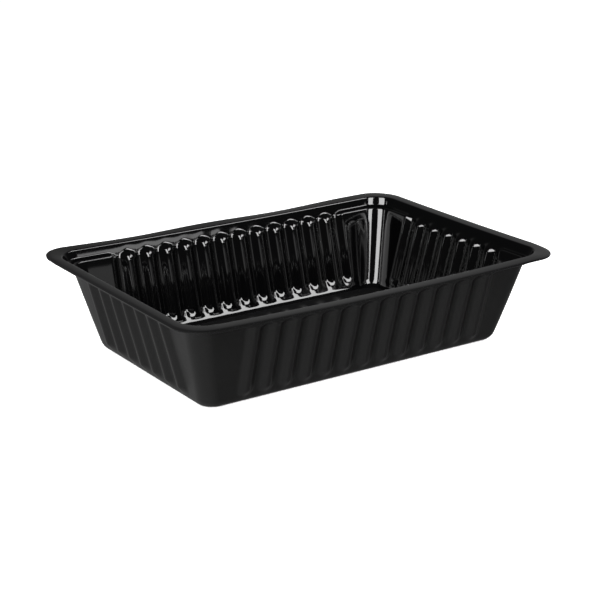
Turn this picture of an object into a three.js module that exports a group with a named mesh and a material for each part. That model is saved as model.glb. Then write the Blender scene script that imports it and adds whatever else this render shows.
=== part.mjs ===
// Fluted food tray: one thin sheet of black plastic, drawn into an open rectangular tray.
//
// A flat flange runs round the mouth. Inside it a short upright band drops to a narrow ledge, and
// below the ledge the walls slope in to a flat floor. The walls are fluted: narrow grooves, seen
// from outside as narrow ridges, stand between broad rounded reeds. Plain flats run to the corners.
//
// Units are millimetres and +Z is up. The origin is the middle of the underside of the floor, with
// X along the tray, and Y across it. "Inset" is the distance inwards from the flange's outer edge,
// and every section below is drawn on the underside of the sheet.

import * as THREE from 'three';

// ---- Driving dimensions ----

const LENGTH = 205;
const WIDTH = 140.2;
const HEIGHT = 45;
const SHEET = 0.6;

const FLANGE_WIDTH = 5.6;
const BAND_LEAN = 1.3;
const LEDGE_HEIGHT = 40.2;
const LEDGE_FALL = 0.5;
const WALL_TOP_INSET = 9.8;
const FLOOR_INSET = 20.4;

// The outer edge of the flange turns down, over a wider strip on the short sides.
const LIP_WIDTH_LONG = 0.9;
const LIP_WIDTH_SHORT = 1.7;
const LIP_DROP_LONG = 0.25;
const LIP_DROP_SHORT = 0.35;

// The rim sags a little in the middle of three sides.
const SAG_FRONT = 1.3;
const SAG_RIGHT = 0.4;
const SAG_BACK = 0.58;
const SAG_LEFT = 0;
const SAG_FADE_HEIGHT = 22;

// Flutes: their pitch, how many grooves stand on each side of the middle one, and their depth.
const LONG_PITCH = 10.6;
const LONG_GROOVES_EACH_WAY = 6;
const SHORT_PITCH = 10.95;
const SHORT_GROOVES_EACH_WAY = 3;
const GROOVE_DEPTH_TOP = 2.4;
const GROOVE_DEPTH_FOOT = 2.3;
const GROOVE_TOP_HEIGHT = 38.2;
const GROOVE_FOOT_HEIGHT = 5.8;
const REED_TOP_HEIGHT = 38.1;

// Across a flute: the groove's flat crest, and the reed's shoulder with its share of the depth.
const CREST_HALF_WIDTH = 0.6;
const SHOULDER_HALF_WIDTH = 2;
const SHOULDER_SHARE = 0.27;

// The line between band and ledge rises over every reed and dips at every groove.
const SCALLOP_RISE = 0.6;
const SCALLOP_DIP = 1.1;
const SCALLOP_POWER = 1.5;

// Beyond the end groove the flute fades into the plain flat over this length.
const END_FLUTE_FADE = 1;

// Insets of the top of the band, and of the floor where it has turned level.
const BAND_TOP_INSET = 5.9;
const LEVEL_FLOOR_INSET = 24.9;

// Plan radius of the corners, against inset.
const CORNER_RADII = [
  { inset: 0, radius: 13.4 },
  { inset: BAND_TOP_INSET, radius: 12 },
  { inset: WALL_TOP_INSET, radius: 10 },
  { inset: FLOOR_INSET, radius: 7.5 },
  { inset: LEVEL_FLOOR_INSET, radius: 4.5 },
];

// How finely the round parts are divided.
const CORNER_STEPS = 5;
const SOFT_STEPS = 2;
const SHARP_STEPS = 1;
const CREASE = 0;

// ---- The section of the sheet, as a string of bends from the flange's edge to the floor ----

const UNDERSIDE = HEIGHT - SHEET;
const FLAT_TOP_HEIGHT = LEDGE_HEIGHT - LEDGE_FALL;
const wallSlope = (FLOOR_INSET - WALL_TOP_INSET) / FLAT_TOP_HEIGHT;

function wallInset(height) {
  return FLOOR_INSET - wallSlope * height;
}

function mix(a, b, share) {
  return a + (b - a) * share;
}

// A bend is the point where two straight runs would meet, and how far along each run it is eased.
// A crease is one point, and a sharp or a soft bend has a row of faces or two across it.
function bend(inset, z, ease, steps) {
  return { inset, z, ease, steps };
}

// Lengths over which the bends are eased, on a plain flat, on a reed and in a groove.
const BAND_FOOT_EASE = { flat: 1.2, reed: 1.1, groove: 0.5 };
const WALL_TOP_EASE = { flat: 0.45, reed: 1.9, groove: 1.2 };
const GROOVE_FOOT_EASE = 2;
const REED_FOOT_HEIGHT = 7;
const FLOOR_EASE = 4.1;

// A column's own ease: its groove share leads from a reed's, or a plain flat's, to a groove's.
function columnEase(column, eases) {
  return mix(mix(eases.flat, eases.reed, column.fluted), eases.groove, column.groove);
}

// The bends of one column. A groove share of 0 is a reed or a flat, and 1 is a groove.
function columnBends(column) {
  const { groove, fluted } = column;
  const scallop = SCALLOP_RISE * fluted - (SCALLOP_DIP + SCALLOP_RISE * fluted) * column.scallop;
  // The band is one flat plane down to its scalloped foot.
  const bandFall = UNDERSIDE - LEDGE_HEIGHT - scallop;
  const bandLean = (BAND_LEAN * bandFall) / (UNDERSIDE - LEDGE_HEIGHT);
  const topHeight = mix(mix(FLAT_TOP_HEIGHT, REED_TOP_HEIGHT, fluted), GROOVE_TOP_HEIGHT, groove);
  const topInset = wallInset(topHeight) - GROOVE_DEPTH_TOP * groove;
  const footHeight = mix(REED_FOOT_HEIGHT, GROOVE_FOOT_HEIGHT, groove);
  const footInset = wallInset(footHeight) - GROOVE_DEPTH_FOOT * groove;
  return [
    bend(FLANGE_WIDTH, UNDERSIDE, 0, CREASE),
    bend(
      FLANGE_WIDTH + bandLean,
      UNDERSIDE - bandFall,
      columnEase(column, BAND_FOOT_EASE),
      SHARP_STEPS,
    ),
    bend(topInset, topHeight, columnEase(column, WALL_TOP_EASE), SOFT_STEPS),
    bend(footInset, footHeight, GROOVE_FOOT_EASE, SHARP_STEPS),
  ];
}

// The lip of one column, wider and lower on the short sides.
function lipBends(column) {
  const width = mix(LIP_WIDTH_LONG, LIP_WIDTH_SHORT, column.shortness);
  const drop = mix(LIP_DROP_LONG, LIP_DROP_SHORT, column.shortness);
  // The sheet's upper edge, and not the underside's, stands at inset 0.
  const edgeInset = (SHEET * drop) / Math.hypot(width, drop);
  return [bend(edgeInset, UNDERSIDE - drop, 0, CREASE), bend(width, UNDERSIDE, 0, CREASE)];
}

// The wall's turn into the floor, below the end of the grooves: the same in every column.
const FLOOR_TURN_SHARES = [0.25, 0.625, 1];
const wallRun = new THREE.Vector2(wallSlope, -1).normalize();
const floorApex = new THREE.Vector2(FLOOR_INSET, 0);
const floorTurn = new THREE.QuadraticBezierCurve(
  floorApex.clone().addScaledVector(wallRun, -FLOOR_EASE),
  floorApex,
  new THREE.Vector2(FLOOR_INSET + FLOOR_EASE, 0),
);
const floorPoints = FLOOR_TURN_SHARES.map((share) => ({
  at: floorTurn.getPoint(share),
  run: floorTurn.getTangent(share),
}));

// Points along the section, each with the direction in which the sheet runs there.
function sectionPoints(column) {
  const bends = [...lipBends(column), ...columnBends(column)];
  const stops = bends.map(({ inset, z }) => new THREE.Vector2(inset, z));
  stops.push(floorPoints[0].at);
  const points = [{ at: stops[0], run: stops[1].clone().sub(stops[0]).normalize() }];
  for (let i = 1; i < bends.length; i += 1) {
    const apex = stops[i];
    const runIn = apex.clone().sub(stops[i - 1]).normalize();
    const runOut = stops[i + 1].clone().sub(apex).normalize();
    const from = apex.clone().addScaledVector(runIn, -bends[i].ease);
    const to = apex.clone().addScaledVector(runOut, bends[i].ease);
    const curve = new THREE.QuadraticBezierCurve(from, apex, to);
    for (let step = 0; step <= bends[i].steps; step += 1) {
      const t = bends[i].steps === CREASE ? 0.5 : step / bends[i].steps;
      points.push({ at: curve.getPoint(t), run: runIn.clone().lerp(runOut, t).normalize() });
    }
  }
  return [...points, ...floorPoints];
}

// ---- Columns round the tray ----

const SIDES = [
  { along: [1, 0], out: [0, -1], halfRun: LENGTH / 2, halfWay: WIDTH / 2, sag: SAG_FRONT },
  { along: [0, 1], out: [1, 0], halfRun: WIDTH / 2, halfWay: LENGTH / 2, sag: SAG_RIGHT },
  { along: [-1, 0], out: [0, 1], halfRun: LENGTH / 2, halfWay: WIDTH / 2, sag: SAG_BACK },
  { along: [0, -1], out: [-1, 0], halfRun: WIDTH / 2, halfWay: LENGTH / 2, sag: SAG_LEFT },
];

// Where the columns of a fluted wall stand, and how deep in the groove each one is.
function flutePlaces(pitch, grooves) {
  const shoulder = pitch / 2 - SHOULDER_HALF_WIDTH;
  const places = [{ place: -(grooves + 0.5) * pitch, groove: 0 }];
  for (let k = -grooves; k <= grooves; k += 1) {
    places.push({ place: k * pitch - shoulder, groove: SHOULDER_SHARE });
    places.push({ place: k * pitch - CREST_HALF_WIDTH, groove: 1 });
    places.push({ place: k * pitch + CREST_HALF_WIDTH, groove: 1 });
    places.push({ place: k * pitch + shoulder, groove: SHOULDER_SHARE });
    places.push({ place: (k + 0.5) * pitch, groove: 0 });
  }
  return places;
}

function allColumns() {
  const columns = [];
  SIDES.forEach((side, index) => {
    const short = index % 2 === 1;
    const pitch = short ? SHORT_PITCH : LONG_PITCH;
    const grooves = short ? SHORT_GROOVES_EACH_WAY : LONG_GROOVES_EACH_WAY;
    for (const { place, groove } of flutePlaces(pitch, grooves)) {
      const nearest = THREE.MathUtils.clamp(Math.round(place / pitch), -grooves, grooves);
      const toCrown = 1 - Math.abs(place / pitch - nearest) * 2;
      const scallop = Math.max(0, toCrown) ** SCALLOP_POWER;
      const pastEnd = (Math.abs(place) - grooves * pitch) / END_FLUTE_FADE;
      const fluted = THREE.MathUtils.clamp(1 - pastEnd, 0, 1);
      columns.push({ side, place, groove, scallop, fluted, shortness: short ? 1 : 0 });
    }
    for (let step = 0; step <= CORNER_STEPS; step += 1) {
      const angle = (Math.PI / 2) * (step / CORNER_STEPS);
      const turned = Math.sin(angle) ** 2;
      const shortness = short ? 1 - turned : turned;
      columns.push({ side, angle, groove: 0, scallop: 0, fluted: 0, shortness });
    }
  });
  return columns;
}

function cornerRadius(inset) {
  const last = CORNER_RADII.length - 1;
  const next = CORNER_RADII.findIndex((mark) => mark.inset > inset);
  if (next < 0) return CORNER_RADII[last].radius;
  if (next === 0) return CORNER_RADII[0].radius;
  const low = CORNER_RADII[next - 1];
  const high = CORNER_RADII[next];
  return mix(low.radius, high.radius, (inset - low.inset) / (high.inset - low.inset));
}

// How far the rim lies below its even height: a parabola along the side, fading out downwards.
function rimSag(side, place, z) {
  const half = side.halfRun - CORNER_RADII[0].radius;
  const bow = Math.max(0, 1 - (place / half) ** 2);
  const share = THREE.MathUtils.clamp((z - SAG_FADE_HEIGHT) / (HEIGHT - SAG_FADE_HEIGHT), 0, 1);
  return side.sag * bow * share;
}

// The point in space of a section point (inset, z) in one column.
function placeInSpace(column, inset, z) {
  const { side } = column;
  const radius = cornerRadius(inset);
  let alongRun = side.halfRun - inset - radius;
  let outwards = side.halfWay - inset;
  let drop = 0;
  if (column.angle === undefined) {
    alongRun = column.place;
    drop = rimSag(side, column.place, z);
  } else {
    alongRun += radius * Math.sin(column.angle);
    outwards += radius * (Math.cos(column.angle) - 1);
  }
  return new THREE.Vector3(
    side.along[0] * alongRun + side.out[0] * outwards,
    side.along[1] * alongRun + side.out[1] * outwards,
    z - drop,
  );
}

// One column of the closed surface: up the underside from the floor, round the edge, and back down.
function columnPoints(column) {
  const section = sectionPoints(column);
  const under = section.map(({ at }) => placeInSpace(column, at.x, at.y));
  const upper = section.map(({ at, run }) => placeInSpace(
    column,
    at.x - run.y * SHEET,
    at.y + run.x * SHEET,
  ));
  return [...under.reverse(), ...upper];
}

// ---- The closed body ----

// Triangles that fill a level ring of vertices; the ring runs anticlockwise seen from above.
function fillRing(vertices, ring, faceUp) {
  const outline = ring.map((index) => new THREE.Vector2(vertices[index].x, vertices[index].y));
  const faces = THREE.ShapeUtils.triangulateShape(outline, []);
  return faces.flatMap(([a, b, c]) => {
    const turned = faceUp ? [a, b, c] : [a, c, b];
    return turned.map((corner) => ring[corner]);
  });
}

function trayGeometry() {
  const columns = allColumns().map(columnPoints);
  const rows = columns[0].length;
  const vertices = columns.flat();
  const indices = [];
  for (let j = 0; j < columns.length; j += 1) {
    const here = j * rows;
    const next = ((j + 1) % columns.length) * rows;
    for (let k = 0; k < rows - 1; k += 1) {
      indices.push(here + k, next + k, next + k + 1);
      indices.push(here + k, next + k + 1, here + k + 1);
    }
  }
  const floorRing = columns.map((_, j) => j * rows);
  const insideRing = columns.map((_, j) => j * rows + rows - 1);
  indices.push(...fillRing(vertices, floorRing, false));
  indices.push(...fillRing(vertices, insideRing, true));
  const geometry = new THREE.BufferGeometry().setFromPoints(vertices);
  geometry.setIndex(indices);
  geometry.computeVertexNormals();
  return geometry;
}

const blackPlastic = new THREE.MeshStandardMaterial({
  color: 0x17171a,
  roughness: 0.3,
  metalness: 0,
});

const tray = new THREE.Mesh(trayGeometry(), blackPlastic);
tray.name = 'tray';

const group = new THREE.Group();
group.add(tray);

export default group;
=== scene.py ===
"""Fluted black food tray in a plain studio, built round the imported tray.

The tray is one formed plastic sheet. Its surface is a grid: columns run round the tray, and rows
run along the section of the sheet, from the middle of the underside, round the flange's edge, to
the middle of the floor inside. Lengths in the settings are metres, and the shape is worked out in
millimetres.
"""

import math

import bpy
import numpy as np
from bpy.props import FloatProperty, FloatVectorProperty, IntProperty, PointerProperty
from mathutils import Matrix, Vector


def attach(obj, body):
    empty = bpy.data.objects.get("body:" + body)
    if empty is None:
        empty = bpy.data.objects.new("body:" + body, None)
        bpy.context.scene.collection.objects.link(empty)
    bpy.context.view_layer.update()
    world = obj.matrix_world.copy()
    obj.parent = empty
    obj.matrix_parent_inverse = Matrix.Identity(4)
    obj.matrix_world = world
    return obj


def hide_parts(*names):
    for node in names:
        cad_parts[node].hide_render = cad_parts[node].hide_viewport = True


bl_info = {
    "name": "Fluted food tray",
    "version": (1, 0, 0),
    "blender": (4, 5, 0),
    "location": "View3D > Sidebar > Tray",
    "description": "Builds a fluted formed tray and the studio it stands in",
    "category": "Add Mesh",
}

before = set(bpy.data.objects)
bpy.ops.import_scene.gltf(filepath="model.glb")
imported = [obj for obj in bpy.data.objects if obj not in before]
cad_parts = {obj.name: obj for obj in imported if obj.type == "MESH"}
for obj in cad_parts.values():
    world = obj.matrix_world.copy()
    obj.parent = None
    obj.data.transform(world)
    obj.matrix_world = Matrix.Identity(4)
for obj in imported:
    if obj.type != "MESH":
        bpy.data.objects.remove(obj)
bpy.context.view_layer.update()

MM = 0.001
TRAY_NODE = "tray"


# ---- Settings ----

class RimSettings(bpy.types.PropertyGroup):
    """Sizes of the flange, the band below it and the ledge."""

    length: FloatProperty(
        name="Length", description="Tray length over the flange", unit="LENGTH",
        default=0.205,
    )
    width: FloatProperty(
        name="Width", description="Tray width over the flange", unit="LENGTH",
        default=0.1402,
    )
    height: FloatProperty(
        name="Height", description="Height of the flange's top", unit="LENGTH",
        default=0.045,
    )
    sheet: FloatProperty(
        name="Sheet", description="Thickness of the sheet", unit="LENGTH",
        default=0.0006,
    )
    flange_width: FloatProperty(
        name="Flange width", description="Flat flange, from its edge to the band",
        unit="LENGTH", default=0.0056,
    )
    band_lean: FloatProperty(
        name="Band lean", description="How far the band leans in on its way down",
        unit="LENGTH", default=0.0013,
    )
    ledge_height: FloatProperty(
        name="Ledge height", description="Height of the ledge at the band",
        unit="LENGTH", default=0.0402,
    )
    ledge_fall: FloatProperty(
        name="Ledge fall", description="Fall of the ledge towards the wall",
        unit="LENGTH", default=0.0005,
    )
    lip_width: FloatVectorProperty(
        name="Lip width", description="Width of the turned-down lip, long and short sides",
        size=2, unit="LENGTH", default=(0.0009, 0.0017),
    )
    lip_drop: FloatVectorProperty(
        name="Lip drop", description="Drop of the turned-down lip, long and short sides",
        size=2, unit="LENGTH", default=(0.00025, 0.00035),
    )
    sag: FloatVectorProperty(
        name="Sag", description="Rim's sag at mid side: front, right and back",
        size=3, unit="LENGTH", default=(0.0013, 0.0004, 0.00058),
    )
    edge_wave: FloatProperty(
        name="Edge wave", description="Swing of the back flange's outer edge, up and down",
        unit="LENGTH", default=0.00035,
    )
    edge_wave_length: FloatProperty(
        name="Edge wave length", description="Length of that wave along the back",
        unit="LENGTH", default=0.086,
    )
    edge_lift: FloatProperty(
        name="Edge lift", description="Rise of the right flange's outer edge",
        unit="LENGTH", default=0.0003,
    )
    edge_droop: FloatProperty(
        name="Edge droop", description="Drop of the front flange's outer edge at its right end",
        unit="LENGTH", default=0.0006,
    )


class WallSettings(bpy.types.PropertyGroup):
    """Sizes of the sloping walls, their flutes and the floor."""

    top_inset: FloatProperty(
        name="Top inset", description="Inset of the wall's top from the flange's edge",
        unit="LENGTH", default=0.0098,
    )
    floor_inset: FloatProperty(
        name="Floor inset", description="Inset at which the wall would meet the floor",
        unit="LENGTH", default=0.0204,
    )
    floor_ease: FloatProperty(
        name="Floor ease", description="Length over which the wall turns into the floor",
        unit="LENGTH", default=0.0041,
    )
    long_pitch: FloatProperty(
        name="Long pitch", description="Groove pitch on the long walls",
        unit="LENGTH", default=0.0106,
    )
    short_pitch: FloatProperty(
        name="Short pitch", description="Groove pitch on the short walls",
        unit="LENGTH", default=0.01095,
    )
    long_grooves: IntProperty(
        name="Long grooves", description="Grooves each way from the middle of a long wall",
        default=6,
    )
    short_grooves: IntProperty(
        name="Short grooves", description="Grooves each way from the middle of a short wall",
        default=3,
    )
    depth_top: FloatProperty(
        name="Depth at top", description="Groove depth at its top",
        unit="LENGTH", default=0.0024,
    )
    depth_foot: FloatProperty(
        name="Depth at foot", description="Groove depth at its foot",
        unit="LENGTH", default=0.0023,
    )
    reed_top: FloatProperty(
        name="Reed top", description="Height at which a reed's front turns into its sloping top",
        unit="LENGTH", default=0.0381,
    )
    groove_top: FloatProperty(
        name="Groove top", description="Height of the groove's top",
        unit="LENGTH", default=0.0382,
    )
    groove_end: FloatProperty(
        name="Groove end", description="Height at which the groove's middle line ends in a bowl",
        unit="LENGTH", default=0.0075,
    )
    crest_flat: FloatProperty(
        name="Crest flat", description="Half width of the groove's flat bottom",
        unit="LENGTH", default=0.0002,
    )
    crest_radius: FloatProperty(
        name="Crest radius", description="Radius between the groove's bottom and its flank",
        unit="LENGTH", default=0.002,
    )
    reed_radius: FloatProperty(
        name="Reed radius", description="Radius of the rounded reeds between the grooves",
        unit="LENGTH", default=0.0035,
    )
    scallop_rise: FloatProperty(
        name="Scallop rise", description="Rise of the ledge's line over each reed",
        unit="LENGTH", default=0.0006,
    )
    scallop_dip: FloatProperty(
        name="Scallop dip", description="Drop of the ledge's line at each groove",
        unit="LENGTH", default=0.0011,
    )
    foot_ease: FloatProperty(
        name="Foot ease", description="Length over which the band turns into a reed's top",
        unit="LENGTH", default=0.0011,
    )
    crown_ease: FloatProperty(
        name="Crown ease", description="Length over which a reed's top turns into the wall",
        unit="LENGTH", default=0.0019,
    )
    wobble: FloatProperty(
        name="Wobble", description="Slight unevenness of the formed walls",
        unit="LENGTH", default=0.00008,
    )


class FinishSettings(bpy.types.PropertyGroup):
    """Colours and gloss of the two faces of the sheet."""

    inner_colour: FloatVectorProperty(
        name="Inner colour", description="Colour of the glossy inner face",
        subtype="COLOR", size=3, default=(0.0008, 0.0008, 0.0009),
    )
    outer_colour: FloatVectorProperty(
        name="Outer colour", description="Colour of the satin outer face",
        subtype="COLOR", size=3, default=(0.0014, 0.0014, 0.0014),
    )
    inner_roughness: FloatProperty(
        name="Inner roughness", description="Roughness of the inner face",
        subtype="FACTOR", default=0.06,
    )
    outer_roughness: FloatProperty(
        name="Outer roughness", description="Roughness of the outer face",
        subtype="FACTOR", default=0.34,
    )


class StageSettings(bpy.types.PropertyGroup):
    """The camera's place and the strength of the light."""

    azimuth: FloatProperty(
        name="Azimuth", description="Camera's turn round the tray", subtype="ANGLE",
        default=math.radians(-34.24),
    )
    elevation: FloatProperty(
        name="Elevation", description="Camera's height above the horizon", subtype="ANGLE",
        default=math.radians(18.56),
    )
    distance: FloatProperty(
        name="Distance", description="Camera's distance from its target", unit="LENGTH",
        default=0.75424,
    )
    target_height: FloatProperty(
        name="Target height", description="Height that the camera looks at", unit="LENGTH",
        default=0.022,
    )
    lens: FloatProperty(
        name="Lens", description="Focal length in millimetres, on a 36 mm sensor",
        default=95.03,
    )
    shift: FloatVectorProperty(
        name="Shift", description="Small shift that centres the picture", size=2,
        default=(0.0009, -0.0019),
    )
    floor_light: FloatProperty(
        name="Floor light", description="Brightness that the tray mirrors from below",
        default=0.165,
    )
    left_light: FloatProperty(
        name="Left light", description="Brightness that the tray mirrors from below, to the left",
        default=0.42,
    )
    wall_light: FloatProperty(
        name="Wall light", description="Brightness of the room's walls near the horizon",
        default=0.25,
    )
    ceiling_light: FloatProperty(
        name="Ceiling light", description="Brightness of the room well above the horizon",
        default=0.04,
    )


# ---- The tray's columns ----

class Columns:
    """What is known of each column of the grid, as arrays of one value a column."""

    def __init__(self):
        self.side = []
        self.place = []
        self.toward_corner = []
        self.angle = []
        self.groove = []
        self.distance = []
        self.scallop = []
        self.fluted = []

    def add(self, side, place, toward_corner=0.0, angle=0.0, **flute):
        """Appends a run of columns; single values are spread over the whole run.

        The flute's values are the share of its depth, the distance from the groove's middle, and
        the shares of the scallop and of the fluted wall.
        """
        known = {"groove": 0.0, "distance": math.inf, "scallop": 0.0, "fluted": 0.0} | flute
        names = ("side", "place", "toward_corner", "angle", *known)
        run = np.broadcast_arrays(side, place, toward_corner, angle, *known.values())
        for name, values in zip(names, run):
            getattr(self, name).append(np.asarray(values, float))

    def join(self):
        """Turns the runs into one array of each kind."""
        for name, runs in vars(self).items():
            setattr(self, name, np.concatenate(runs))
        self.side = self.side.astype(int)


class FluteProfile:
    """Half of a flute's level section, from the groove's middle to the reed's crown.

    A short level bottom is followed by an arc of the groove's radius, a straight flank and an arc
    of the reed's radius, which ends level at half a pitch. The flank's angle is the one at which
    these parts together reach the groove's depth.
    """

    def __init__(self, pitch, walls):
        self.half = pitch / 2
        self.flat = walls.crest_flat / MM
        self.groove = walls.crest_radius / MM
        self.reed = walls.reed_radius / MM
        self.depth = (walls.depth_top + walls.depth_foot) / 2 / MM
        radii = self.groove + self.reed
        run = self.half - self.flat
        reach = math.hypot(radii - self.depth, run)
        self.angle = math.atan2(run, radii - self.depth) - math.acos(radii / reach)
        self.groove_end = self.flat + self.groove * math.sin(self.angle)
        self.reed_start = self.half - self.reed * math.sin(self.angle)

    def share(self, distance):
        """How deep into the groove a place is: 1 on its bottom and 0 on the reed's crown."""
        d = np.minimum(np.abs(distance), self.half)
        u = np.clip(d - self.flat, 0, self.groove * math.sin(self.angle))
        on_groove = self.groove - np.sqrt(self.groove**2 - u**2)
        v = np.clip(self.half - d, 0, self.reed * math.sin(self.angle))
        on_reed = self.depth - self.reed + np.sqrt(self.reed**2 - v**2)
        flank = self.groove * (1 - math.cos(self.angle))
        flank = flank + (d - self.groove_end) * math.tan(self.angle)
        drop = np.where(d < self.reed_start, flank, on_reed)
        drop = np.where(d < self.groove_end, on_groove, drop)
        return 1 - drop / self.depth

    def steps(self, groove_steps=4, flank_steps=2, reed_steps=6):
        """Distances from the groove's middle at which columns stand."""
        turn = np.linspace(0, self.angle, groove_steps + 1)
        groove = self.flat + self.groove * np.sin(turn)
        flank = np.linspace(self.groove_end, self.reed_start, flank_steps + 1)[1:]
        turn = np.linspace(self.angle, 0, reed_steps + 1)[1:]
        return np.concatenate([[0.0], groove, flank, self.half - self.reed * np.sin(turn)])


# Columns across a plain flat and round a corner, and the length over which the end flute fades
# into the flat. The scallop's line falls from the reed's crown with this power of the way.
FLAT_STEPS = 6
CORNER_STEPS = 16
END_FLUTE_FADE = 1.0
SCALLOP_POWER = 1.5


def tray_columns(walls):
    """All columns, anticlockwise from the left end of the front wall's flutes."""
    columns = Columns()
    for side in range(4):
        short = side % 2 == 1
        pitch = (walls.short_pitch if short else walls.long_pitch) / MM
        grooves = walls.short_grooves if short else walls.long_grooves
        profile = FluteProfile(pitch, walls)
        half = profile.steps()
        whole = np.concatenate([-half[::-1], half[1:]])
        centres = np.arange(-grooves, grooves + 1) * pitch
        places = (centres[:, None] + whole[None, 1:]).ravel()
        places = np.concatenate([[centres[0] + whole[0]], places])
        nearest = places - np.clip(np.round(places / pitch), -grooves, grooves) * pitch
        share = profile.share(nearest)
        last = centres[-1]
        fluted = np.clip((last - np.abs(places)) / END_FLUTE_FADE + 1, 0, 1)
        scallop = np.clip(1 - np.abs(nearest) * 2 / pitch, 0, 1) ** SCALLOP_POWER
        flute = {"groove": share, "distance": np.abs(nearest), "scallop": scallop}
        columns.add(side, places, fluted=fluted, **flute)
        end = places[-1]
        shares = np.linspace(0, 1, FLAT_STEPS + 1)[1:-1]
        columns.add(side, end, shares)
        angles = np.linspace(0, math.pi / 2, CORNER_STEPS + 1)
        columns.add(side, end, 1.0, angles)
        next_pitch = (walls.long_pitch if short else walls.short_pitch) / MM
        next_grooves = walls.long_grooves if short else walls.short_grooves
        start = -(next_grooves + 0.5) * next_pitch
        columns.add((side + 1) % 4, start, -shares[::-1])
    columns.join()
    return columns


# ---- The section of the sheet ----

# Lengths over which the section's corners are eased, on a plain flat and in a groove.
LIP_EASE = 0.4
FLANGE_EASE = 0.2
BAND_FOOT_EASE = {"flat": 1.2, "groove": 0.5}
WALL_TOP_EASE = {"flat": 0.45, "groove": 1.2}
# The wall's top is eased as if the wall ran straight to this height.
WALL_AIM_HEIGHT = 20.0


def mix(a, b, share):
    """Straight mix of a and b."""
    return a + (b - a) * share


def polyline_curves(points, eases):
    """Quadratic curves (start, control, end) that ease the inner corners of a polyline.

    Each curve leaves the run before a corner at the corner's ease and joins the run after it at the
    same distance, with the corner itself as its control point.
    """
    points = np.array(points, float)
    runs = np.diff(points, axis=-2)
    runs = runs / np.linalg.norm(runs, axis=-1, keepdims=True)
    eases = np.array(eases)[..., None]
    corners = points[..., 1:-1, :]
    before = corners - runs[..., :-1, :] * eases
    after = corners + runs[..., 1:, :] * eases
    return np.stack([before, corners, after], axis=-2)


def groove_share(columns, below_end, walls):
    """Each column's share of the groove's depth, some millimetres below the groove's end.

    The groove ends in a round bowl. Below its end, the distance from the groove's middle line is
    replaced by the distance from the point where that line ends.
    """
    reach = np.hypot(columns.distance, max(0, below_end))
    on_long = FluteProfile(walls.long_pitch / MM, walls).share(reach)
    on_short = FluteProfile(walls.short_pitch / MM, walls).share(reach)
    return np.where(columns.side % 2 == 1, on_short, on_long)


def lip_curves(rim, short):
    """The flange's outer edge and the bend where its lip begins, for every column."""
    ones = np.ones(len(short))
    under = (rim.height - rim.sheet) / MM
    width = mix(rim.lip_width[0], rim.lip_width[1], short) / MM
    drop = mix(rim.lip_drop[0], rim.lip_drop[1], short) / MM
    edge = np.stack([rim.sheet / MM * drop / np.hypot(width, drop), under - drop], axis=-1)
    corner = np.stack([width, under * ones], axis=-1)
    run = (corner - edge) / np.linalg.norm(corner - edge, axis=-1, keepdims=True)
    lip = np.stack([corner - LIP_EASE * run, corner, corner + (LIP_EASE, 0)], axis=1)
    return edge, run, lip


# How many rows of points the section's parts get.
LIP_ROWS = 3
TOP_CURVE_ROWS = (4, 6, 7)
WALL_ROWS = 4
BOWL_ROWS = 9
FLOOR_TURN_ROWS = 8
FLOOR_ROWS = 2
# Height below which the wall's rows lie close together, for the grooves' bowls.
BOWL_TOP = 8.0


def curve_rows(curve, steps):
    """Points and unit directions at even parameters along a quadratic curve, for every column."""
    start, control, end = curve[:, 0], curve[:, 1], curve[:, 2]
    rows = []
    for t in np.linspace(0, 1, steps):
        at = (1 - t) ** 2 * start + 2 * t * (1 - t) * control + t**2 * end
        run = (1 - t) * (control - start) + t * (end - control)
        rows.append((at, run / np.linalg.norm(run, axis=-1, keepdims=True)))
    return rows


def top_curves(columns, rim, walls):
    """The flange's inner edge, the band's foot and the wall's top, for every column.

    The band is one plane. The line where it meets the ledge is scalloped: it rises in an arch over
    every reed and comes down to a point at every groove, by a power of the way between them.
    """
    under = (rim.height - rim.sheet) / MM
    flange = rim.flange_width / MM
    ledge = rim.ledge_height / MM
    floor = walls.floor_inset / MM
    slope = (floor - walls.top_inset / MM) / (ledge - rim.ledge_fall / MM)
    share = columns.groove
    rise = walls.scallop_rise / MM * columns.fluted
    dip = (walls.scallop_dip / MM + rise) * columns.scallop
    band_foot = ledge + rise - dip
    band_lean = rim.band_lean / MM * (under - band_foot) / (under - ledge)
    reed_top = mix(ledge - rim.ledge_fall / MM, walls.reed_top / MM, columns.fluted)
    top_height = mix(reed_top, walls.groove_top / MM, share)
    top_inset = floor - slope * top_height - walls.depth_top / MM * share
    low_depth = (walls.depth_foot + walls.depth_top) / 2 / MM
    low_inset = floor - slope * WALL_AIM_HEIGHT - low_depth * share
    ones = np.ones(len(share))
    points = np.stack([
        np.stack([0 * ones, under * ones], axis=-1),
        np.stack([flange * ones, under * ones], axis=-1),
        np.stack([flange + band_lean, band_foot], axis=-1),
        np.stack([top_inset, top_height], axis=-1),
        np.stack([low_inset, WALL_AIM_HEIGHT * ones], axis=-1),
    ], axis=1)
    foot = mix(BAND_FOOT_EASE["flat"], walls.foot_ease / MM, columns.fluted)
    foot = mix(foot, BAND_FOOT_EASE["groove"], share)
    crown = mix(WALL_TOP_EASE["flat"], walls.crown_ease / MM, columns.fluted)
    crown = mix(crown, WALL_TOP_EASE["groove"], share)
    eases = np.stack([FLANGE_EASE * ones, foot, crown], axis=-1)
    return polyline_curves(points, eases)


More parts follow.
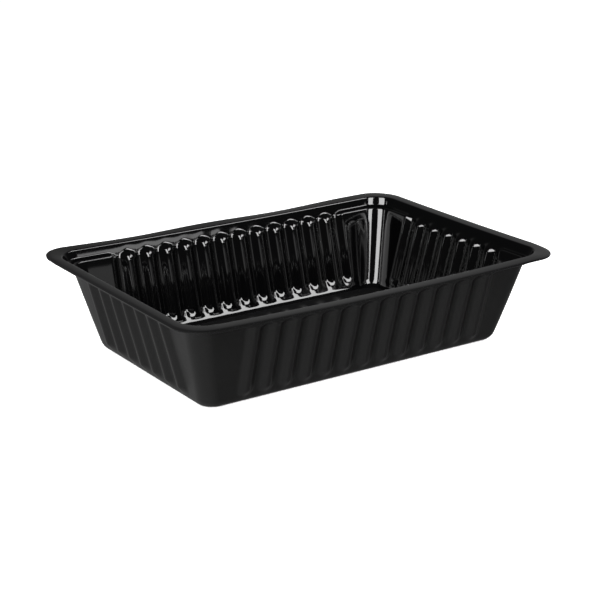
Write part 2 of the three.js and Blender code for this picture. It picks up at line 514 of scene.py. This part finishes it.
def wall_path(rim, walls):
    """Points (inset, height) down a flat wall from the bowls' height, and into the floor."""
    floor = walls.floor_inset / MM
    slope = (floor - walls.top_inset / MM) / ((rim.ledge_height - rim.ledge_fall) / MM)
    apex = np.array([floor, 0.0])
    up_wall = np.array([-slope, 1.0]) / math.hypot(slope, 1.0)
    turn = np.stack([apex + up_wall * walls.floor_ease / MM, apex, apex])
    turn[2, 0] += walls.floor_ease / MM
    heights = np.linspace(BOWL_TOP, turn[0, 1], BOWL_ROWS)
    straight = np.column_stack([floor - slope * heights, heights])
    into_floor = [at[0] for at, _ in curve_rows(turn[None], FLOOR_TURN_ROWS)]
    return np.concatenate([straight[:-1], into_floor])


def wall_rows(columns, rim, walls, top):
    """Rows down the wall and into the floor, below the last row of the wall's top."""
    bowls = []
    for inset, height in wall_path(rim, walls):
        share = groove_share(columns, walls.groove_end / MM - height, walls)
        insets = inset - walls.depth_foot / MM * share
        bowls.append(np.column_stack([insets, np.full(len(share), height)]))
    shares = np.linspace(0, 1, WALL_ROWS + 2)[1:-1]
    at = np.array([mix(top, bowls[0], share) for share in shares] + bowls)
    runs = np.gradient(at, axis=0)
    runs[-1] = (1, 0)
    return list(zip(at, runs / np.linalg.norm(runs, axis=-1, keepdims=True)))


def section_rows(columns, rim, walls):
    """Rows of points down the section, as (points, directions) with one value a column."""
    edge, run, lip = lip_curves(rim, shortness(columns))
    rows = [(edge, run), *curve_rows(lip, LIP_ROWS)]
    tops = top_curves(columns, rim, walls)
    for index, steps in enumerate(TOP_CURVE_ROWS):
        rows += curve_rows(tops[:, index], steps)
    rows += wall_rows(columns, rim, walls, rows[-1][0])
    return [row for i, row in enumerate(rows) if i == 0 or not same_place(rows[i - 1], row)]


def same_place(one, other):
    """True where two rows of points coincide, as where one curve ends and the next begins."""
    return np.abs(one[0] - other[0]).max() < 1e-6


# ---- From the section to space ----

SIDE_ALONG = np.array([(1, 0), (0, 1), (-1, 0), (0, -1)], float)
SIDE_OUT = np.array([(0, -1), (1, 0), (0, 1), (-1, 0)], float)
# Plan radius of the corners, against inset.
CORNER_INSETS = (0.0, 5.9, 9.8, 20.4, 24.9)
CORNER_RADII = (13.4, 12.0, 10.0, 7.5, 4.5)
SAG_FADE_HEIGHT = 22.0
# The walls' unevenness fades in over this height above the floor and below the walls' top. It is a
# sum of sines, each with its turn in radians for a millimetre along X, Y and Z, and its phase.
WOBBLE_FADE = 8.0
WOBBLE_TOP = 39.0
WOBBLE_WAVES = (
    ((1 / 13, 0, 1 / 40), 0.7),
    ((0, 1 / 9, -1 / 30), 2.1),
    ((1 / 21, -1 / 21, 1 / 17), 0.0),
)
# Where the outer edge's unevenness of the front, back and right begins and how long it takes to
# grow, the place of a crest of the back edge's wave, and the length of the front edge's droop.
LONG_EDGE_FROM = 50.0
LONG_EDGE_RUN = 15.0
RIGHT_EDGE_FROM = 85.0
RIGHT_EDGE_RUN = 12.0
WAVE_CREST = -10.0
DROOP_RUN = 100.0


def shortness(columns):
    """0 on the long sides and 1 on the short ones, turning with the squared sine in the corners."""
    turned = np.sin(columns.angle) ** 2
    return np.where(columns.side % 2 == 1, 1 - turned, turned)


def place_points(columns, inset, height, rim, walls):
    """Points in space, in millimetres, of one row of the section.

    On a side, a point lies its inset inwards of the flange's edge. In a corner it turns about the
    centre of a circle whose radius depends on the inset alone.
    """
    length = rim.length / MM
    width = rim.width / MM
    top = rim.height / MM
    short = columns.side % 2 == 1
    half_run = np.where(short, width, length) / 2
    half_way = np.where(short, length, width) / 2
    radius = np.interp(inset, CORNER_INSETS, CORNER_RADII)
    corner_start = np.where(columns.toward_corner < 0, -1, 1) * (half_run - inset - radius)
    along = mix(columns.place, corner_start, np.abs(columns.toward_corner))
    along = along + radius * np.sin(columns.angle)
    out = half_way - inset + radius * (np.cos(columns.angle) - 1)

    straight = half_run - CORNER_RADII[0]
    bow = np.maximum(0, 1 - (along / straight) ** 2)
    sags = np.array([*rim.sag, 0]) / MM
    fade = np.clip((height - SAG_FADE_HEIGHT) / (top - SAG_FADE_HEIGHT), 0, 1)
    flat = SIDE_ALONG[columns.side] * along[:, None] + SIDE_OUT[columns.side] * out[:, None]
    z = height - sags[columns.side] * bow * fade
    z = z + edge_waviness(flat, rim) * np.clip(1 - inset * MM / rim.flange_width, 0, 1)

    rise = np.clip(height / WOBBLE_FADE, 0, 1)
    rise = rise * np.clip((WOBBLE_TOP - height) / WOBBLE_FADE, 0, 1)
    spots = np.column_stack([flat, z])
    wave = sum(np.sin(spots @ np.array(turns) + phase) for turns, phase in WOBBLE_WAVES)
    flat = flat + SIDE_OUT[columns.side] * (walls.wobble / MM * rise * wave)[:, None]
    return np.column_stack([flat, z])


def edge_waviness(flat, rim):
    """How far the flange's outer edge stands above its even height, in millimetres.

    Along the back it waves with a cosine, on the right it is a little raised, and at the front it
    droops towards its right end. The three fade into each other in the corners.
    """
    x, y = flat[:, 0], flat[:, 1]
    at_back = np.clip((y - LONG_EDGE_FROM) / LONG_EDGE_RUN, 0, 1)
    at_front = np.clip((-y - LONG_EDGE_FROM) / LONG_EDGE_RUN, 0, 1)
    at_right = np.clip((x - RIGHT_EDGE_FROM) / RIGHT_EDGE_RUN, 0, 1)
    at_right = at_right * (1 - at_back) * (1 - at_front)
    turn = 2 * math.pi * (x - WAVE_CREST) / (rim.edge_wave_length / MM)
    back = rim.edge_wave / MM * (1 + np.cos(turn))
    front = -rim.edge_droop / MM * np.clip(x / DROOP_RUN, 0, 1)
    return at_back * back + at_right * rim.edge_lift / MM + at_front * front


def grid_mesh(name, rows):
    """A closed mesh from rows of points that run round the tray, capped at both ends.

    Row r and column c meet at vertex r times the column count plus c; faces join neighbours, and
    the last column joins the first.
    """
    rows = np.array(rows)
    count, around = rows.shape[:2]
    ids = np.arange(count * around).reshape(count, around)
    following = np.roll(ids, -1, axis=1)
    quads = np.stack([ids[:-1], following[:-1], following[1:], ids[1:]], axis=-1).reshape(-1, 4)
    faces = [*quads.tolist(), ids[0][::-1].tolist(), ids[-1].tolist()]
    mesh = bpy.data.meshes.new(name)
    mesh.from_pydata((rows.reshape(-1, 3) * MM).tolist(), [], faces)
    mesh.update()
    return mesh


# The floor's rows shrink to this share of its size, and one flat face fills what is left.
FLOOR_PATCH = 0.2


def build_tray(rim, walls):
    """The whole formed sheet as one closed mesh, and the row at which its inner face begins."""
    columns = tray_columns(walls)
    section = section_rows(columns, rim, walls)
    sheet = rim.sheet / MM
    under = []
    upper = []
    for at, run in section:
        inner = at + sheet * np.column_stack([-run[:, 1], run[:, 0]])
        under.append(place_points(columns, at[:, 0], at[:, 1], rim, walls))
        upper.append(place_points(columns, inner[:, 0], inner[:, 1], rim, walls))
    shrink = np.linspace(1, FLOOR_PATCH, FLOOR_ROWS + 1)[1:]
    under += [under[-1] * (s, s, 1) for s in shrink]
    upper += [upper[-1] * (s, s, 1) for s in shrink]
    mesh = grid_mesh("tray_shell", under[::-1] + upper)
    return mesh, len(under)


# ---- Finishes ----

PLASTIC_IOR = 1.49
# Most of a noise's values lie between these.
NOISE_RANGE = (0.3, 0.7)


def plastic(name, colour, roughness):
    """A plain plastic with a Principled shader; returns the material and the shader."""
    material = bpy.data.materials.new(name)
    material.use_nodes = True
    shader = material.node_tree.nodes["Principled BSDF"]
    shader.inputs["Base Color"].default_value = (*colour, 1)
    shader.inputs["Roughness"].default_value = roughness
    shader.inputs["IOR"].default_value = PLASTIC_IOR
    return material, shader


def noise_on_object(material, scale, detail):
    """Noise that stays on the object: metres of Object coordinates times the scale."""
    nodes = material.node_tree.nodes
    links = material.node_tree.links
    place = nodes.new("ShaderNodeTexCoord")
    noise = nodes.new("ShaderNodeTexNoise")
    noise.inputs["Scale"].default_value = scale
    noise.inputs["Detail"].default_value = detail
    links.new(place.outputs["Object"], noise.inputs["Vector"])
    return noise


def spread_roughness(material, shader, noise, low, high):
    """Roughness that wanders between low and high with the noise."""
    nodes = material.node_tree.nodes
    links = material.node_tree.links
    spread = nodes.new("ShaderNodeMapRange")
    spread.inputs["From Min"].default_value = NOISE_RANGE[0]
    spread.inputs["From Max"].default_value = NOISE_RANGE[1]
    spread.inputs["To Min"].default_value = low
    spread.inputs["To Max"].default_value = high
    links.new(noise.outputs["Fac"], spread.inputs["Value"])
    links.new(spread.outputs["Result"], shader.inputs["Roughness"])


def rougher_floor(material, shader, heights, roughness):
    """Raises the roughness below two heights in metres, fully below the first.

    The larger of it and the roughness that is already linked is taken.
    """
    nodes = material.node_tree.nodes
    links = material.node_tree.links
    place = nodes.new("ShaderNodeTexCoord")
    parts = nodes.new("ShaderNodeSeparateXYZ")
    links.new(place.outputs["Object"], parts.inputs["Vector"])
    low = nodes.new("ShaderNodeMapRange")
    low.inputs["From Min"].default_value = heights[0]
    low.inputs["From Max"].default_value = heights[1]
    low.inputs["To Min"].default_value = roughness
    low.inputs["To Max"].default_value = 0.0
    links.new(parts.outputs["Z"], low.inputs["Value"])
    larger = nodes.new("ShaderNodeMath")
    larger.operation = "MAXIMUM"
    links.new(shader.inputs["Roughness"].links[0].from_socket, larger.inputs[0])
    links.new(low.outputs["Result"], larger.inputs[1])
    links.new(larger.outputs["Value"], shader.inputs["Roughness"])


def bump_from(material, shader, noise, distance):
    """Relief of the given height in metres, from the noise."""
    nodes = material.node_tree.nodes
    links = material.node_tree.links
    bump = nodes.new("ShaderNodeBump")
    bump.inputs["Strength"].default_value = 1.0
    bump.inputs["Distance"].default_value = distance
    links.new(noise.outputs["Fac"], bump.inputs["Height"])
    links.new(bump.outputs["Normal"], shader.inputs["Normal"])


def glossy_inner_face(finish):
    """The inner face: glossy black, with the faint waviness of formed sheet and a dull floor."""
    material, shader = plastic("glossy_inner_face", finish.inner_colour, finish.inner_roughness)
    haze = noise_on_object(material, scale=90, detail=2)
    low = finish.inner_roughness * 0.85
    spread_roughness(material, shader, haze, low, high=finish.inner_roughness * 1.2)
    rougher_floor(material, shader, heights=(0.0008, 0.0012), roughness=0.4)
    ripple = noise_on_object(material, scale=70, detail=1)
    bump_from(material, shader, ripple, distance=0.00001)
    return material


def satin_outer_face(finish):
    """The outer face: satin black, with a fine grain from the mould."""
    material, shader = plastic("satin_outer_face", finish.outer_colour, finish.outer_roughness)
    haze = noise_on_object(material, scale=60, detail=3)
    low = finish.outer_roughness * 0.9
    spread_roughness(material, shader, haze, low, high=finish.outer_roughness * 1.12)
    grain = noise_on_object(material, scale=1500, detail=2)
    bump_from(material, shader, grain, distance=0.000006)
    return material


# ---- Operators ----

def link_object(name, data):
    """A new object at the origin, in the scene."""
    thing = bpy.data.objects.new(name, data)
    bpy.context.scene.collection.objects.link(thing)
    return thing


# Edges sharper than this, in degrees, are shaded as creases.
SHARP_ANGLE = 50


class TRAY_OT_make_shell(bpy.types.Operator):
    """Build the tray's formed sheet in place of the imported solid."""

    bl_idname = "tray.make_shell"
    bl_label = "Make tray"

    def execute(self, context):
        scene = context.scene
        mesh, inner_row = build_tray(scene.tray_rim, scene.tray_walls)
        if len(mesh.polygons) == 0:
            raise RuntimeError("the tray's mesh is empty")
        mesh.materials.append(satin_outer_face(scene.tray_finish))
        mesh.materials.append(glossy_inner_face(scene.tray_finish))
        # The faces come row by row, and the caps of the underside and the inner floor come last.
        around = len(mesh.polygons[-1].vertices)
        face = np.arange(len(mesh.polygons))
        inside = face >= (inner_row - 1) * around
        inside[-2] = False
        mesh.polygons.foreach_set("material_index", inside.astype(np.int32))
        mesh.polygons.foreach_set("use_smooth", np.ones(len(face), bool))
        mesh.set_sharp_from_angle(angle=math.radians(SHARP_ANGLE))
        tray = link_object("tray_shell", mesh)
        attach(tray, "root")
        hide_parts(TRAY_NODE)
        return {"FINISHED"}


# The soft boxes: name, azimuth and elevation in degrees, width and height in metres, and power in
# watts. Each faces a point above the middle of the tray's floor, from the same distance.
SOFT_BOX_DISTANCE = 1.6
SOFT_BOX_AIM = Vector((0, 0, 0.02))
SOFT_BOXES = (
    ("strip_above", 51, 41, 0.95, 0.42, 15),
    ("window_right", 0, 37, 0.6, 1.05, 27),
    ("window_left", -68, 37, 0.74, 1.05, 33),
    ("edge_left", -97, 20, 0.06, 0.6, 0.8),
    ("card_low", 0, 12, 0.7, 0.12, 0.2),
    ("strip_low", 75, 30, 0.4, 0.22, 1.4),
    ("card_left", 28, 20.5, 0.24, 0.13, 0.32),
    ("card_flat", 25.6, 7.5, 0.16, 0.22, 0.076),
)


def direction(azimuth, elevation):
    """The unit vector to a place in the room, from angles in radians.

    The azimuth turns anticlockwise from the front, which is -Y, and the elevation rises from the
    horizon.
    """
    level = math.cos(elevation)
    across = math.sin(azimuth) * level
    away = -math.cos(azimuth) * level
    return Vector((across, away, math.sin(elevation)))


def soft_box(name, azimuth, elevation, width, height, power):
    """A rectangular studio light that faces the tray."""
    light = bpy.data.lights.new(name, "AREA")
    light.shape = "RECTANGLE"
    light.size = width
    light.size_y = height
    light.energy = power
    thing = link_object(name, light)
    toward = direction(math.radians(azimuth), math.radians(elevation))
    thing.location = toward * SOFT_BOX_DISTANCE + SOFT_BOX_AIM
    thing.rotation_euler = toward.to_track_quat("Z", "Y").to_euler()


# The room's edges, each as the two values of a direction's part between which one level turns
# into the next: up for the horizon and the wall's top, back for the wall, and right for the rest.
HORIZON = (-0.08, 0.05)
WALL_TOP = (0.62, 0.85)
WALL_BEHIND = (0.0, 0.5)
WALL_LEFT_END = (-0.05, 0.15)
BRIGHT_WALL_LEFT_END = (0.4, 0.56)
TABLE_FADE = (-0.35, 0.45)


def ranged(world, value, span, at_low, at_high):
    """Maps a value over a span onto two levels, each a number or another node's output."""
    part = world.node_tree.nodes.new("ShaderNodeMapRange")
    part.inputs["From Min"].default_value = span[0]
    part.inputs["From Max"].default_value = span[1]
    for name, level in (("To Min", at_low), ("To Max", at_high)):
        if isinstance(level, float):
            part.inputs[name].default_value = level
        else:
            world.node_tree.links.new(level, part.inputs[name])
    world.node_tree.links.new(value, part.inputs["Value"])
    return part.outputs["Result"]


def room(settings):
    """A grey room that only shows in the tray's own reflections.

    Above the horizon it is dark but for a wall behind the tray, which begins near the middle, at
    half its light, and is fully lit at the right. Below the horizon it is the pale table, which is
    brightest to the left.
    """
    world = bpy.data.worlds.new("studio_room")
    bpy.context.scene.world = world
    world.use_nodes = True
    nodes = world.node_tree.nodes
    links = world.node_tree.links
    place = nodes.new("ShaderNodeTexCoord")
    parts = nodes.new("ShaderNodeSeparateXYZ")
    links.new(place.outputs["Generated"], parts.inputs["Vector"])
    right, back, up = parts.outputs
    dark = settings.ceiling_light
    wall = ranged(world, up, WALL_TOP, settings.wall_light, dark)
    dim_wall = ranged(world, up, WALL_TOP, settings.wall_light / 2, dark)
    wall = ranged(world, right, BRIGHT_WALL_LEFT_END, dim_wall, wall)
    wall = ranged(world, right, WALL_LEFT_END, dark, wall)
    above = ranged(world, back, WALL_BEHIND, dark, wall)
    table = ranged(world, right, TABLE_FADE, settings.left_light, settings.floor_light)
    level = ranged(world, up, HORIZON, table, above)
    links.new(level, nodes["Background"].inputs["Color"])


# The studio's floor: half its side in metres, its paper's grey, and how much light it adds.
FLOOR_HALF = 4.0
PAPER_GREY = 0.85
PAPER_ROUGHNESS = 0.9
PAPER_GLOW = 0.62


def pale_floor():
    """A wide floor of pale paper under the tray, a little brighter than its light."""
    half = FLOOR_HALF
    mesh = bpy.data.meshes.new("floor")
    corners = [(-half, -half, 0), (half, -half, 0), (half, half, 0), (-half, half, 0)]
    mesh.from_pydata(corners, [], [(0, 1, 2, 3)])
    material, shader = plastic("pale_paper", (PAPER_GREY,) * 3, PAPER_ROUGHNESS)
    shader.inputs["Specular IOR Level"].default_value = 0.0
    shader.inputs["Emission Color"].default_value = (1, 1, 1, 1)
    shader.inputs["Emission Strength"].default_value = PAPER_GLOW
    mesh.materials.append(material)
    floor = link_object("floor", mesh)
    floor.visible_glossy = False


SENSOR_WIDTH = 36
CLIP_RANGE = (0.01, 50)


def picture_camera(settings):
    """The camera of the picture."""
    data = bpy.data.cameras.new("camera")
    data.sensor_width = SENSOR_WIDTH
    data.lens = settings.lens
    data.shift_x, data.shift_y = settings.shift
    data.clip_start, data.clip_end = CLIP_RANGE
    camera = link_object("camera", data)
    back = direction(settings.azimuth, settings.elevation)
    camera.location = back * settings.distance + Vector((0, 0, settings.target_height))
    camera.rotation_euler = back.to_track_quat("Z", "Y").to_euler()
    bpy.context.scene.camera = camera


class TRAY_OT_make_stage(bpy.types.Operator):
    """Set up the floor, the room, the lights and the camera."""

    bl_idname = "tray.make_stage"
    bl_label = "Make stage"

    def execute(self, context):
        settings = context.scene.tray_stage
        pale_floor()
        room(settings)
        for box in SOFT_BOXES:
            soft_box(*box)
        picture_camera(settings)
        context.scene.view_settings.view_transform = "Standard"
        context.scene.view_settings.look = "None"
        return {"FINISHED"}


class TRAY_PT_panel(bpy.types.Panel):
    """Lists the tray's settings and steps."""

    bl_label = "Tray"
    bl_idname = "TRAY_PT_panel"
    bl_space_type = "VIEW_3D"
    bl_region_type = "UI"
    bl_category = "Tray"

    def draw(self, context):
        scene = context.scene
        for group in (scene.tray_rim, scene.tray_walls, scene.tray_finish, scene.tray_stage):
            box = self.layout.box()
            for name in group.__annotations__:
                box.prop(group, name)
        self.layout.operator(TRAY_OT_make_shell.bl_idname)
        self.layout.operator(TRAY_OT_make_stage.bl_idname)


CLASSES = (
    RimSettings,
    WallSettings,
    FinishSettings,
    StageSettings,
    TRAY_OT_make_shell,
    TRAY_OT_make_stage,
    TRAY_PT_panel,
)


def register():
    """Registers the classes and the scene's settings."""
    for part in CLASSES:
        bpy.utils.register_class(part)
    bpy.types.Scene.tray_rim = PointerProperty(type=RimSettings)
    bpy.types.Scene.tray_walls = PointerProperty(type=WallSettings)
    bpy.types.Scene.tray_finish = PointerProperty(type=FinishSettings)
    bpy.types.Scene.tray_stage = PointerProperty(type=StageSettings)


def unregister():
    """Takes the settings and the classes away again."""
    del bpy.types.Scene.tray_stage
    del bpy.types.Scene.tray_finish
    del bpy.types.Scene.tray_walls
    del bpy.types.Scene.tray_rim
    for part in reversed(CLASSES):
        bpy.utils.unregister_class(part)


def main():
    register()
    bpy.ops.tray.make_shell()
    bpy.ops.tray.make_stage()


if __name__ == "__main__":
    main()
